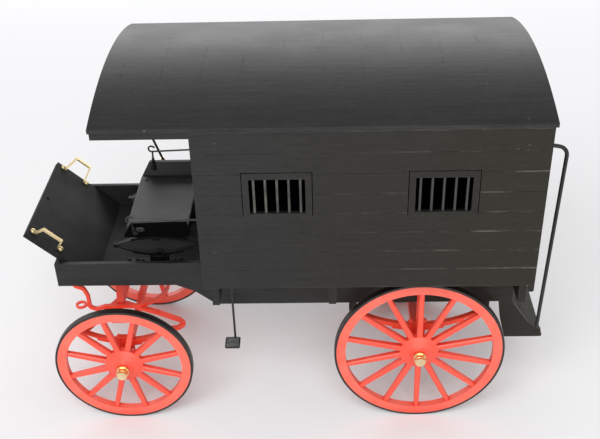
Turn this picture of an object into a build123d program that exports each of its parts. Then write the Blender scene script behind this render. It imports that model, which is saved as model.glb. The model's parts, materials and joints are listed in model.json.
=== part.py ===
from build123d import *
import math
import os

os.makedirs("parts", exist_ok=True)

# Horse-drawn jail wagon, tabletop scale model, in millimetres.
# +X is to the rear, +Y is the wagon's right-hand side, +Z is up, the ground is z = 0.
# All places are measured from the rear axle; everything moves by x_shift when it is written.

# driving sizes
wheelbase = 186.4
rear_r = 53.0
front_r = 43.6
half_over_wheels = 61.0
tread = 4.6

body_front = -129.1
body_rear = 62.8
body_half = 72.0
body_bottom = 113.7
plank_h = 12.8
wall_t = 2.5

roof_front = -182.0
roof_rear = 64.0
roof_over = 1.5
roof_half = body_half + roof_over
roof_eave = 219.6
roof_rise = 11.4
roof_crown = roof_eave + roof_rise
roof_t = 2.2
roof_edge = 0.6

# how far a cutting tool runs past the face that it cuts
past = 10.0

chassis_half = 47.0
sill_t = 2.5
sill_bottom = 82.5
sill_rear = 57.0
sill_top = 114.2

# wheels
tyre_t = 1.4
felloe_depth = 5.6
rear_spokes = 14
front_spokes = 12
spoke_root_w = 3.8
spoke_root_d = 4.0
spoke_tip_w = 3.0
spoke_tip_d = 3.4
spoke_cut = 0.6
spoke_root_bite = 1.6
spoke_tip_bite = 1.2
# rest angle of a spoke from the wheel's top, in degrees: rear, front left, front right
rear_phase = 0.0
front_left_phase = 15.0
front_right_phase = 20.0
spoke_root_z = -2.75
hub_flange_r = 12.0
hub_nose_r = 5.4
hub_nose = 3.2
hub_inner_r = 6.6
hub_inner = 10.0
hub_neck = 7.2
# turning of the hub: in from the flange's edge, height over the rim's outer face
hub_turning = [(5.8, 2.0), (2.4, 0.4), (0.0, -0.9), (0.0, -4.6), (2.2, -5.8)]
spindle_r = 2.3
spindle_play = 0.05
nut_gap = 0.3
nut_collar_r = 4.0
nut_collar_t = 1.4
nut_flats = 6.6
nut_hex_l = 2.6
nut_end_r = 3.1
spindle_out = 7.0
nut_end_t = 1.6

# box body
planks = 8
groove_w = 0.35
groove_d = 0.3
groove_head = 2.0
floor_t = 2.5
door_half = 27.0
door_head = 205.0
door_play = 0.5
door_t = 2.5
door_hinge_r = 1.2
door_hinge_off = 0.25
strap_t = 0.8
strap_l = 26.0
strap_h = 3.2
knuckle_h = 5.0
leaf_in = 1.9
leaf_out = 7.5
leaf_h = 9.2
leaf_gap = 0.3
latch_z = 157.0
latch_y = 4.0
latch_plate_w = 4.0
latch_plate_h = 10.0
latch_plate_t = 1.0
latch_stem_r = 0.7
latch_knob_r = 1.4
latch_knob_t = 2.2
latch_reach = 5.2
hinge_z = (133.0, 193.0)
door_slot_w = 22.0
door_slot_h = 14.0
door_slot_z = 178.0
header_bottom = 212.8
bow_depth = 6.6
bow_t = 2.4
post_w = 3.4
post_drop = 4.6
post_in = 0.4
post_round = 1.2

# windows: name, centre x
windows = [("front", -83.65), ("rear", 7.15)]
win_frame_w = 38.0
win_frame_z0 = 163.4
win_frame_z1 = 191.1
win_open_w = 30.9
win_open_z0 = 165.4
win_open_z1 = 187.2
win_groove = 0.5
win_bars = 5
bar_pitch = 6.4
bar_r = 0.75

# footwell
well_front = -222.7
well_bottom = 97.6
well_top = 114.2
well_floor_t = 1.6
well_front_t = 2.4
dash_foot = (-198.7, 98.6)
dash_top = (-237.4, 134.4)
dash_t = 3.3
dash_half = 42.6
# dash handles: side, y at the feet, lean outwards, height off the dash, run down the dash to
# the upper foot, lower foot, upper end of the grip, lower end of the grip
handles = [
    (-1, 37.3, 0.0, 6.2, 5.3, 21.5, 7.8, 20.4),
    (1, 40.4, 6.0, 9.0, 6.6, 21.6, 8.8, 19.4),
]
handle_w = 2.2
handle_t = 1.1
handle_foot = 3.0

# seat, set from the body's front wall
seat_behind = 12.0
seat_len = 38.4
seat_x = body_front - seat_behind - seat_len / 2
seat_half = 30.0
seat_top = 130.0
seat_board_t = 3.6
seat_board_round = 0.9
seat_base_t = 2.4
seat_bearer_w = 9.0
seat_side_t = 2.4
seat_side_top = (34.9, 137.9)
seat_side_cut = 6.4
seat_side_gap = 0.8
seat_side_ahead = 1.0
# seat irons: side, y of the rail, z of the rail at the post, post foot y, post foot z,
# how far the post stands ahead of the seat's middle
seat_irons = [
    (-1, 43.4, 141.7, 35.02, 128.7, 12.7),
    (1, 35.4, 145.5, 33.25, 133.1, 10.9),
]
seat_iron_r = 0.6
seat_iron_climb = 1.6
seat_iron_flange_r = 1.6
seat_iron_flange_t = 0.8
seat_curl_r = 2.0
seat_curl_ahead = 0.4
seat_curl_turn = 250
# turned beads on the post: distance up it, radius
post_beads = [(0.0, 0.9), (1.0, 1.45), (2.0, 0.75), (3.2, 1.15), (4.4, 0.75), (7.4, 1.0), (8.8, 0.6)]
seat_spring_y = 27.0
seat_spring_half = 26.5
seat_spring_x = seat_x - 1.7
seat_spring_w = 3.2
seat_spring_t = 1.0
seat_spring_bot = 107.0
seat_spring_short = 0.62
seat_eye_r = 1.3
seat_clip_half = 2.4
seat_clip_h = 3.2
seat_clip_over = 0.5
seat_block_l = 11.0
seat_block_w = 6.0

# brake lever
lever_y = 49.3
lever_pivot = (-158.9, 105.5)
lever_top = (-176.6, 159.0)
lever_r = 0.8
lever_grip_r = 1.1
lever_grip_l = 9.0
lever_ferrule_z = 131.0
lever_ferrule_r = 1.3
lever_ferrule_l = 2.2
lever_boss_r = 2.0
lever_boss_over = 1.2

# underbody
# outriggers: name, centre x
outriggers = [("front", -122.9), ("middle", -53.8), ("rear", 57.2)]
outrigger_w = 4.3
outrigger_h = 15.6
outrigger_in = 3.6
outrigger_half = body_half - outrigger_in
sill_sweep = [(-150.0, 97.6), (-138.5, 92.6), (-128.6, 84.6), (-125.4, 82.5)]

# steps at the rear, side outline in x, z
stringer = [
    (50.0, 82.5), (49.4, 80.0), (51.2, 68.0), (54.8, 54.0), (76.9, 54.0),
    (77.4, 59.4), (74.3, 61.2), (69.3, 64.4), (59.2, 79.4), (57.8, 82.5),
]
stringer_t = 2.6
tread_t = 2.0
# treads: x front, x rear, top z
treads = [(66.4, 78.9, 54.0), (59.4, 67.2, 67.5), (51.4, 58.6, 80.5)]

rail_y = 47.0
rail_r = 1.15
rail_bend = 6.0
rail_flange_r = 2.2
rail_flange_t = 0.9
rail_pts = [(62.8, 193.4), (77.7, 190.4), (74.4, 62.4)]

mount_step_x = -114.6
mount_step_y = 57.0
mount_step_z = 63.4
mount_step_r = 0.7
pad_l = 9.2
pad_w = 9.6
pad_t = 1.2
pad_ahead = 1.4
pad_in = 0.8
pad_round = 1.0
step_plate_l = 6.4
step_plate_w = 4.0
step_plate_t = 0.9

# rear running gear
axle_half = 3.2
front_axle_half = 3.0
rear_axle_w = 6.4
front_axle_w = 3.2
axle_end = 49.0
axle_collar_r = 3.6
clip_over = 0.3
rear_spring_y = 44.9
gear_spring_w = 3.4
gear_leaf_t = 1.5
rear_spring_half = 41.0
rear_spring_bot = 59.4
rear_spring_rise = 12.5
eye_r = 1.6
leaf_step = 0.3
clip_half = 2.2
clip_up = 1.2
perch_half = 4.0
perch_bite = 0.2
hanger_half = 2.4
stay_w = 3.0
stay_t = 1.0
stay_top = 89.0

# front running gear
ring_r = 22.4
ring_w = 4.4
ring_t = 2.4
ring_gap = 0.3
ring_z = 86.0
bolster_w = 5.7
bolster_in = 0.6
front_spring_y = 46.0
front_spring_half = 26.0
front_spring_bot = 49.6
front_spring_rise = 7.0
# the bed is a cross bar before the king pin, with arms to the springs' front ends
bar_z = 58.0
bar_h = 2.3
bed_ahead = 7.8
bed_w = 4.4
bed_half = 35.0
bed_pad_l = 13.2
bed_pad_w = 4.0
bed_pad_ahead = 0.4
arm_w = 4.4
arm_in = 10.0
arm_bite = 0.6
shackle_l = 4.4
shackle_w = 2.2
shackle_up = 1.7
# the bolster is a trestle on the bed, with a cap that carries the king pin
bolster_foot = 19.0
bolster_top = 8.0
bolster_leg = 5.4
cap_h = 3.0
cap_half = 9.0
cap_rear = 5.2
# hound centre line in plan, from the king pin: back, out
hound_path = [
    (-5.0, 15.6), (5.5, 20.6), (18.0, 25.6), (33.2, 33.4), (37.4, 37.6), (33.6, 41.6), (26.0, 43.0),
]
hound_w = 2.8
hound_bend = 2.2
# pole irons: one bar, bent round behind the king pin and drawn forwards on both sides
iron_t = 2.2
iron_r = 21.8
iron_front = 12.0
# its drop and rise before the wheels, back from the king pin and height over the bed
goose = [
    (-12.0, 1.1), (-17.0, 1.1), (-23.0, -1.0), (-27.0, 0.7),
    (-27.2, 10.2), (-29.2, 16.0), (-33.6, 17.8), (-36.0, 20.6),
]
goose_bend = 2.0
king_r = 2.4
king_play = 0.05
king_over = 1.0
pole_eye_r = 3.7
pole_hole_r = 2.3
pole_eye_t = 1.5
pole_eye_x = -219.0
pole_eye_z = 62.8

# the row's origin is midway between the dash's foremost edge and the lowest tread's rear edge
slope = math.atan2(dash_top[1] - dash_foot[1], dash_foot[0] - dash_top[0])
x_front = dash_top[0] - dash_t * math.sin(slope)
x_back = treads[0][1]
x_shift = -(x_front + x_back) / 2.0


def block(x0, x1, y0, y1, z0, z1):
    return Pos((x0 + x1) / 2, (y0 + y1) / 2, (z0 + z1) / 2) * Box(x1 - x0, y1 - y0, z1 - z0)


def both(solid):
    return [solid, mirror(solid, about=Plane.XZ)]


def side_plate(points, y0, y1):
    face = Plane.XZ * Polygon(*points, align=None)
    return Pos(0, y1, 0) * extrude(face, amount=y1 - y0, dir=(0, -1, 0))


def cross_plate(points, x0, x1):
    face = Plane.YZ * Polygon(*points, align=None)
    return Pos(x0, 0, 0) * extrude(face, amount=x1 - x0, dir=(1, 0, 0))


def rod(p, q, r):
    start = Vector(*p)
    run = Vector(*q) - start
    return Solid.make_cylinder(r, run.length, Plane(origin=start, z_dir=run))


def bar8(p, q, r):
    # an eight-sided bar, r across its corners
    start = Vector(*p)
    run = Vector(*q) - start
    face = Plane(origin=start, z_dir=run) * RegularPolygon(r, 8)
    return extrude(face, amount=run.length, dir=tuple(run.normalized()))


def bent_rod(points, r, bend):
    path = FilletPolyline(*points, radius=bend)
    section = Plane(origin=path @ 0, z_dir=path % 0) * Circle(r)
    return sweep_solid(section, path)


def sweep_solid(section, path):
    return sweep(section, path=path)


def bow(xc, z_mid, rise, half, t, y0, y1):
    # a leaf: an arc of even height, low in the middle when rise is positive
    low = ThreePointArc((xc - half, z_mid + rise), (xc, z_mid), (xc + half, z_mid + rise))
    end = z_mid + rise + t
    high = ThreePointArc((xc - half, end), (xc, z_mid + t), (xc + half, end))
    left = Line((xc - half, z_mid + rise), (xc - half, end))
    right = Line((xc + half, z_mid + rise), (xc + half, end))
    face = Plane.XZ * make_face([low, right, high, left])
    return Pos(0, y1, 0) * extrude(face, amount=y1 - y0, dir=(0, -1, 0))


def rise_at(half, rise, part):
    radius = (half * half + rise * rise) / (2 * abs(rise))
    return math.copysign(radius - math.sqrt(radius * radius - part * part), rise)


def fuse(items):
    out = items[0]
    for item in items[1:]:
        out = out + item
    return out


def save(name, items):
    items = items if isinstance(items, list) else [items]
    solids = []
    for item in items:
        solids.extend((Pos(x_shift, 0, 0) * item).solids())
    shape = solids[0] if len(solids) == 1 else Compound(children=solids)
    export_step(shape, "parts/" + name + ".step")


# roof and what stands under it
def arch(half, eave, crown):
    rise = crown - eave
    radius = (half * half + rise * rise) / (2 * rise)
    return radius, crown - radius


outer_r, roof_cz = arch(roof_half, roof_eave, roof_crown)
inner_r = outer_r - roof_t


def barrel(radius, half, x0, x1, floor_z):
    edge = roof_cz + math.sqrt(radius * radius - half * half)
    top = ThreePointArc((-half, edge), (0, roof_cz + radius), (half, edge))
    sides = Polyline((half, edge), (half, floor_z), (-half, floor_z), (-half, edge))
    face = Plane.YZ * make_face([top, sides])
    return Pos(x0, 0, 0) * extrude(face, amount=x1 - x0, dir=(1, 0, 0))


def roof_under(y):
    return roof_cz + math.sqrt(inner_r * inner_r - y * y)


roof = barrel(outer_r, roof_half, roof_front, roof_rear, roof_eave - roof_t - roof_edge)
roof = roof - barrel(inner_r, roof_half + past / 2, roof_front - past, roof_rear + past, body_bottom)
under_roof = barrel(inner_r, roof_half, roof_front, roof_rear + past, sill_bottom)
save("roof", roof)

# side walls with planks and window openings
wall_in = body_half - wall_t
wall_mid = (wall_in + body_half) / 2
cut_x0 = body_front - past
cut_x1 = body_rear + past
cut_y0 = wall_in - past
cut_y1 = body_half + past
wall = block(body_front, body_rear, wall_in, body_half, body_bottom, roof_crown) & under_roof
for row in range(1, planks):
    z0 = body_bottom + row * plank_h - groove_w / 2
    wall = wall - block(cut_x0, cut_x1, body_half - groove_d, cut_y1, z0, z0 + groove_w)
frames = []
bars = []
frame_half = win_frame_w / 2
cut_half = frame_half + win_groove
open_half = win_open_w / 2
for name, xc in windows:
    wall = wall - block(xc - cut_half, xc + cut_half, cut_y0, cut_y1, win_frame_z0, win_frame_z1 + win_groove)
    frame = block(xc - frame_half, xc + frame_half, wall_in, body_half, win_frame_z0, win_frame_z1)
    frame = frame - block(xc - open_half, xc + open_half, cut_y0, cut_y1, win_open_z0, win_open_z1)
    frames.extend(both(frame))
    for k in range(win_bars):
        x = xc + (k - (win_bars - 1) / 2) * bar_pitch
        bars.extend(both(bar8((x, wall_mid, win_open_z0), (x, wall_mid, win_open_z1), bar_r)))
save("side_wall_right", wall)
save("side_wall_left", mirror(wall, about=Plane.XZ))
save("window_frames", frames)
save("window_bars", bars)

# floor, front wall, rear frame
floor_top = sill_top + floor_t
floor_x0 = body_front + wall_t
floor_x1 = body_rear - wall_t
save("body_floor", block(floor_x0, floor_x1, -wall_in, wall_in, sill_top, floor_top))

well_half = chassis_half - sill_t
front_wall = block(body_front, floor_x0, -wall_in, wall_in, sill_top, roof_crown) & under_roof
save("front_wall", front_wall)
riser = block(body_front, body_front + wall_t, -well_half, well_half, well_bottom + well_floor_t, sill_top)
save("footwell_riser", riser)

rear_wall = block(floor_x1, body_rear, -wall_in, wall_in, sill_top, roof_crown) & under_roof
opening_half = door_half + door_play
opening_top = door_head + door_play
doorway = block(floor_x1 - past, cut_x1, -opening_half, opening_half, floor_top, opening_top)
rear_wall = rear_wall - doorway
save("rear_wall", rear_wall)

post_z0 = body_bottom - post_drop
post = block(body_rear - post_w, body_rear, wall_in + post_in, body_half, post_z0, body_bottom)
post = fillet(post.edges().filter_by(Axis.Y).group_by(Axis.Z)[0].sort_by(Axis.X)[0:2], post_round)
save("corner_post_feet", both(post))

# overhang over the driver
header = block(roof_front + roof_edge, body_front, wall_in, body_half, header_bottom, roof_crown) & under_roof
save("overhang_headers", both(header))
bow_x0 = roof_front + roof_edge
front_bow = barrel(inner_r, wall_in, bow_x0, bow_x0 + bow_t, header_bottom)
hollow = barrel(inner_r, body_half, bow_x0 - past, bow_x0 + bow_t + past, body_bottom)
front_bow = front_bow - Pos(0, 0, -bow_depth) * hollow
save("overhang_bow", front_bow)

# chassis sills, cross members
outline = [(well_front, well_bottom)] + sill_sweep
outline += [(sill_rear, sill_bottom), (sill_rear, sill_top), (well_front, well_top)]
sill = side_plate(outline, well_half, chassis_half)
save("chassis_sills", both(sill))

members = []
for name, xc in outriggers:
    x0 = xc - outrigger_w / 2
    x1 = xc + outrigger_w / 2
    z0 = sill_top - outrigger_h
    members.append(block(x0, x1, -well_half, well_half, z0, sill_top))
    members.extend(both(block(x0, x1, chassis_half, outrigger_half, z0, sill_top)))
save("outriggers", members)

# footwell
well_floor_z = well_bottom + well_floor_t
well_x0 = well_front + well_front_t
save("footwell_floor", block(well_x0, floor_x0, -well_half, well_half, well_bottom, well_floor_z))
save("footwell_front", block(well_front, well_x0, -well_half, well_half, well_bottom, well_top))

dash_dir = (-math.cos(slope), math.sin(slope))
dash_nor = (math.sin(slope), math.cos(slope))


def on_dash(run, off):
    # run is measured up the dash from its top edge downwards, off is the height over its face
    x = dash_top[0] - dash_dir[0] * run + dash_nor[0] * off
    z = dash_top[1] - dash_dir[1] * run + dash_nor[1] * off
    return (x, z)


dash_end = math.hypot(dash_top[0] - dash_foot[0], dash_top[1] - dash_foot[1]) + past
corners = [on_dash(0, 0), on_dash(dash_end, 0), on_dash(dash_end, -dash_t), on_dash(0, -dash_t)]
dash = side_plate(corners, -dash_half, dash_half)
side = dash_half + past
dash = dash - block(x_front - past, body_front, -side, side, well_bottom - past, well_floor_z)
dash = dash - block(well_front, well_x0, -side, side, well_bottom - past, well_top)
save("dash_board", dash)

handle_solids = []
for side, y, lean_out, off, foot_high, foot_low, grip_high, grip_low in handles:
    y0 = side * y
    y1 = y0 + side * lean_out
    piece = []
    for foot_run, grip_run, away in ((foot_high, grip_high, -1), (foot_low, grip_low, 1)):
        near = foot_run - away * handle_t / 2
        far = foot_run + away * handle_foot
        foot = [on_dash(near, 0), on_dash(far, 0), on_dash(far, handle_t), on_dash(near, handle_t)]
        piece.append(side_plate(foot, y0 - handle_w / 2, y0 + handle_w / 2))
        turn_x = (dash_dir[0], 0, dash_dir[1])
        turn_z = (dash_nor[0], 0, dash_nor[1])
        a = on_dash(foot_run, 0)
        b = on_dash(grip_run, off)
        leg = Plane(origin=(a[0], y0, a[1]), x_dir=turn_x, z_dir=turn_z) * Rectangle(handle_t, handle_w)
        top = Plane(origin=(b[0], y1, b[1]), x_dir=turn_x, z_dir=turn_z) * Rectangle(handle_t, handle_w)
        piece.append(loft([leg, top]))
    high = grip_high - handle_t / 2
    low = grip_low + handle_t / 2
    inner = off - handle_t
    grip = [on_dash(high, inner), on_dash(low, inner), on_dash(low, off), on_dash(high, off)]
    piece.append(side_plate(grip, y1 - handle_w / 2, y1 + handle_w / 2))
    handle_solids.append(fuse(piece))
save("dash_handles", handle_solids)

# driver's seat
seat_x0 = seat_x - seat_len / 2
seat_x1 = seat_x + seat_len / 2
board_z = seat_top - seat_board_t
base_z = board_z - seat_base_t
spring_top = base_z - seat_base_t
board = block(seat_x0, seat_x1, -seat_half, seat_half, board_z, seat_top)
board = fillet(board.edges().group_by(Axis.Z)[-1], seat_board_round)
save("seat_board", board)
foot_in = seat_half + seat_side_gap
base = block(seat_x0, seat_x1, -foot_in, foot_in, base_z, board_z)
bearer_x0 = seat_spring_x - seat_bearer_w / 2
bearer_x1 = seat_spring_x + seat_bearer_w / 2
bearer = block(bearer_x0, bearer_x1, -seat_half, seat_half, spring_top, base_z)
save("seat_base", base + bearer)

# its leaning sides, with the front corner cut away
head_in, head_z = seat_side_top
foot_out = foot_in + seat_side_t
head_out = head_in + seat_side_t
panel_x0 = seat_x0 - seat_side_ahead
section = [(foot_in, base_z), (foot_out, base_z), (head_out, head_z), (head_in, head_z)]
panel = cross_plate(section, panel_x0, seat_x1)
cut_z = head_z + past
cut_x = panel_x0 + seat_side_cut * (cut_z - board_z) / (head_z - board_z)
away = panel_x0 - past
corner = [(panel_x0, board_z), (away, board_z), (away, cut_z), (cut_x, cut_z)]
panel = panel - side_plate(corner, 0, body_half)
save("seat_sides", both(panel))

seat_iron_solids = []
for side, iron_y, iron_z, foot_y, foot_z, ahead in seat_irons:
    y_iron = side * iron_y
    post_x = seat_x - ahead
    post_low = (post_x, side * foot_y, foot_z)
    post_high = (post_x, y_iron, iron_z)
    iron = [bar8(post_low, post_high, seat_iron_r)]
    bead_pts = [(0, 0)] + [(r, at) for at, r in post_beads] + [(0, post_beads[-1][0])]
    bead = revolve(Plane.XZ * Polygon(*bead_pts, align=None), axis=Axis.Z)
    iron.append(Plane(origin=post_low, z_dir=Vector(*post_high) - Vector(*post_low)) * bead)
    end_z = iron_z + seat_iron_climb
    curl_x = post_x - seat_curl_ahead
    flange_x = body_front - seat_iron_flange_t
    iron.append(bar8((curl_x, y_iron, iron_z), (body_front, y_iron, end_z), seat_iron_r))
    iron.append(rod((flange_x, y_iron, end_z), (body_front, y_iron, end_z), seat_iron_flange_r))
    curl = CenterArc((curl_x, iron_z + seat_curl_r), seat_curl_r, -90, -seat_curl_turn)
    curl_path = Plane.XZ * curl
    section = Plane(origin=curl_path @ 0, z_dir=curl_path % 0) * RegularPolygon(seat_iron_r, 8)
    iron.append(Pos(0, y_iron, 0) * sweep_solid(section, curl_path))
    iron = fuse(iron)
    iron = iron - (panel if side > 0 else mirror(panel, about=Plane.XZ))
    pieces = iron.solids()
    if len(pieces) > 1:
        print("seat iron", side, "pieces", [round(q.volume, 3) for q in pieces])
    seat_iron_solids.append(iron)
save("seat_rails", seat_iron_solids)

springs = []
spring_h = (spring_top - seat_spring_bot) / 2
eye_z = seat_spring_bot + spring_h
part = seat_spring_half * seat_spring_short
y0 = seat_spring_y - seat_spring_w / 2
y1 = seat_spring_y + seat_spring_w / 2
low_mid = seat_spring_bot + seat_spring_t
low_rise = eye_z - seat_spring_t / 2 - low_mid
top_mid = spring_top - 2 * seat_spring_t
top_rise = eye_z - seat_spring_t / 2 - top_mid
# leaves: height of the middle, rise to the ends, half length
seat_leaves = [
    (low_mid, low_rise, seat_spring_half),
    (seat_spring_bot, rise_at(seat_spring_half, low_rise, part), part),
    (top_mid, top_rise, seat_spring_half),
    (top_mid + seat_spring_t, rise_at(seat_spring_half, top_rise, part), part),
]
spring = []
for mid, rise, half in seat_leaves:
    spring.append(bow(seat_spring_x, mid, rise, half, seat_spring_t, y0, y1))
for s in (-1, 1):
    x = seat_spring_x + s * seat_spring_half
    spring.append(rod((x, y0, eye_z), (x, y1, eye_z), seat_eye_r))
clip_x0 = seat_spring_x - seat_clip_half
clip_x1 = seat_spring_x + seat_clip_half
for z0 in (seat_spring_bot, spring_top - seat_clip_h):
    clip = block(clip_x0, clip_x1, y0 - seat_clip_over, y1 + seat_clip_over, z0, z0 + seat_clip_h)
    spring.append(clip)
save("seat_springs", both(fuse(spring)))
x0 = seat_spring_x - seat_block_l / 2
x1 = seat_spring_x + seat_block_l / 2
y0 = seat_spring_y - seat_block_w / 2
y1 = seat_spring_y + seat_block_w / 2
save("spring_blocks", both(block(x0, x1, y0, y1, well_floor_z, seat_spring_bot)))

# brake lever on the right-hand side
lever_dx = (lever_top[0] - lever_pivot[0]) / (lever_top[1] - lever_pivot[1])
lever = [rod((lever_pivot[0], lever_y, lever_pivot[1]), (lever_top[0], lever_y, lever_top[1]), lever_r)]
grip_dir = Vector(lever_top[0] - lever_pivot[0], 0, lever_top[1] - lever_pivot[1]).normalized()
grip_end = Vector(lever_top[0], lever_y, lever_top[1])
grip_start = grip_end - grip_dir * lever_grip_l
lever.append(Solid.make_cylinder(lever_grip_r, lever_grip_l, Plane(origin=grip_start, z_dir=grip_dir)))
boss_in = (lever_pivot[0], chassis_half, lever_pivot[1])
boss_out = (lever_pivot[0], lever_y + lever_boss_over, lever_pivot[1])
lever.append(rod(boss_in, boss_out, lever_boss_r))
lever = fuse(lever)
ferrule_x = lever_pivot[0] + lever_dx * (lever_ferrule_z - lever_pivot[1])
ferrule_at = Plane(origin=(ferrule_x, lever_y, lever_ferrule_z), z_dir=grip_dir)
ferrule = Solid.make_cylinder(lever_ferrule_r, lever_ferrule_l, ferrule_at)
save("brake_lever", lever)
save("lever_ferrule", ferrule - lever)

# rear steps
step_half = chassis_half - stringer_t
save("step_stringers", both(side_plate(stringer, step_half, chassis_half)))
boards = []
for x0, x1, z in treads:
    boards.append(block(x0, x1, -step_half, step_half, z - tread_t, z))
save("step_treads", boards)

# rear handrails
rail = bent_rod([(x, rail_y, z) for x, z in rail_pts], rail_r, rail_bend)
rail_z = rail_pts[0][1]
flange_x = body_rear + rail_flange_t
rail = rail + rod((body_rear, rail_y, rail_z), (flange_x, rail_y, rail_z), rail_flange_r)
rail = rail - block(body_rear - past, body_rear, rail_y - past, rail_y + past, rail_z - past, rail_z + past)
save("handrails", both(rail))

# mounting steps
stem_low = (mount_step_x, mount_step_y, mount_step_z)
stem_high = (mount_step_x, mount_step_y, sill_top)
stem = rod(stem_low, stem_high, mount_step_r)
pad_x = mount_step_x - pad_ahead
pad_y = mount_step_y - pad_in
pad = block(pad_x - pad_l / 2, pad_x + pad_l / 2, pad_y, pad_y + pad_w, mount_step_z - pad_t, mount_step_z)
pad = fillet(pad.edges().filter_by(Axis.Z), pad_round)
plate_z = sill_top - step_plate_t / 2
plate = Pos(mount_step_x, mount_step_y, plate_z) * Box(step_plate_l, step_plate_w, step_plate_t)
save("mounting_steps", both(fuse([stem, pad, plate])))

# rear axle, springs, hangers, stays
hub_in_y = half_over_wheels - hub_inner


def axle(xc, zc, half, width):
    beam = block(xc - width / 2, xc + width / 2, -axle_end, axle_end, zc - half, zc + half)
    end = half_over_wheels + spindle_out
    pieces = [beam]
    for s in (-1, 1):
        pieces.append(rod((xc, s * axle_end, zc), (xc, s * end, zc), spindle_r))
        pieces.append(rod((xc, s * axle_end, zc), (xc, s * (hub_in_y - nut_gap), zc), axle_collar_r))
    return fuse(pieces)


def gear_spring(xc, y, z_bot, rise, half, z_seat):
    leaves = 3
    t = gear_leaf_t
    w = gear_spring_w
    pieces = []
    y0 = y - w / 2
    y1 = y + w / 2
    for k in range(leaves):
        part = half * (1 - leaf_step * (leaves - 1 - k))
        z_mid = z_bot + k * t
        pieces.append(bow(xc, z_mid, rise_at(half, rise, part), part, t, y0, y1))
    z_eye = z_bot + (leaves - 1) * t + rise + t / 2
    for s in (-1, 1):
        pieces.append(rod((xc + s * half, y0, z_eye), (xc + s * half, y1, z_eye), eye_r))
    clip_z = z_bot + leaves * t + clip_up
    pieces.append(block(xc - clip_half, xc + clip_half, y0 - clip_over, y1 + clip_over, z_bot, clip_z))
    pieces.append(block(xc - perch_half, xc + perch_half, y0, y1, z_seat, z_bot + perch_bite))
    return fuse(pieces), z_eye


rear_axle = axle(0, rear_r, axle_half, rear_axle_w)
save("rear_axle", rear_axle)
perch_z = rear_r + axle_half
spring = gear_spring(0, rear_spring_y, rear_spring_bot, rear_spring_rise, rear_spring_half, perch_z)
rear_spring, rear_eye_z = spring
save("rear_springs", both(rear_spring))
hangers = []
y0 = rear_spring_y - gear_spring_w / 2
y1 = rear_spring_y + gear_spring_w / 2
for s in (-1, 1):
    x = s * rear_spring_half
    hanger = block(x - hanger_half, x + hanger_half, y0, y1, rear_eye_z, sill_bottom)
    hanger = hanger - rod((x, y0 - past, rear_eye_z), (x, y1 + past, rear_eye_z), eye_r)
    hangers.extend(both(hanger))
save("spring_hangers", hangers)
stay_out = chassis_half + stay_t
save("axle_stays", both(block(-stay_w / 2, stay_w / 2, chassis_half, stay_out, perch_z, stay_top)))

# turntable: fixed half
kx = -wheelbase
upper_z = ring_z + ring_t + ring_gap


def ring(z):
    disc = Pos(kx, 0, z + ring_t / 2) * Cylinder(ring_r, ring_t)
    return disc - Pos(kx, 0, z + ring_t / 2) * Cylinder(ring_r - ring_w, ring_t + 1)


bolster_half = ring_r - bolster_in


def cross_bar(z):
    return block(kx - bolster_w / 2, kx + bolster_w / 2, -bolster_half, bolster_half, z, z + ring_t)


upper = ring(upper_z) + cross_bar(upper_z)
upper = upper - rod((kx, 0, upper_z - 1), (kx, 0, upper_z + ring_t + 1), king_r)
save("turntable_upper", upper)
upper_x0 = kx - bolster_w / 2
upper_x1 = kx + bolster_w / 2
upper_bolster = block(upper_x0, upper_x1, -bolster_half, bolster_half, upper_z + ring_t, well_bottom)
upper_bolster = upper_bolster - rod((kx, 0, upper_z - 1), (kx, 0, well_bottom + 1), king_r)
save("upper_bolster", upper_bolster)
cap_z = ring_z - cap_h
king_bottom = cap_z - king_over
save("king_pin", rod((kx, 0, king_bottom), (kx, 0, well_bottom), king_r))

# turntable: turning half
king_bore = king_r + king_play
bore = rod((kx, 0, king_bottom - past), (kx, 0, ring_z + ring_t + 1), king_bore)
lower = ring(ring_z) + cross_bar(ring_z)
save("turntable_lower", lower - bore)
side_z = bar_z + bar_h
bed_x0 = kx - bed_ahead - bed_w / 2
bed_x1 = kx - bed_ahead + bed_w / 2
foot = bolster_foot
leg = bolster_leg
top = bolster_top
lean_in = (foot - top) / (cap_z - side_z)
notch_z = cap_z - cap_h
notch = foot - leg - lean_in * (notch_z - side_z)
trestle = [(-foot, side_z), (leg - foot, side_z), (-notch, notch_z), (notch, notch_z)]
trestle += [(foot - leg, side_z), (foot, side_z), (top, cap_z), (-top, cap_z)]
bolster = cross_plate(trestle, bed_x0, bed_x1)
bolster = bolster + block(bed_x0, kx + cap_rear, -cap_half, cap_half, cap_z, ring_z)
save("front_bolster", bolster - bore)

front_axle = axle(kx, front_r, front_axle_half, front_axle_w)
save("front_axle", front_axle)
perch_z = front_r + front_axle_half
spring = gear_spring(kx, front_spring_y, front_spring_bot, front_spring_rise, front_spring_half, perch_z)
front_spring, front_eye_z = spring
save("front_springs", both(front_spring))

# the bed, its end pads, and its arms to the front ends of the springs
tip_in = front_spring_y - gear_spring_w / 2
shackle_y = tip_in - shackle_w


def shackle(x, side):
    y0 = min(side * shackle_y, side * tip_in)
    y1 = max(side * shackle_y, side * tip_in)
    return block(x - shackle_l / 2, x + shackle_l / 2, y0, y1, bar_z, front_eye_z + shackle_up)


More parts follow.
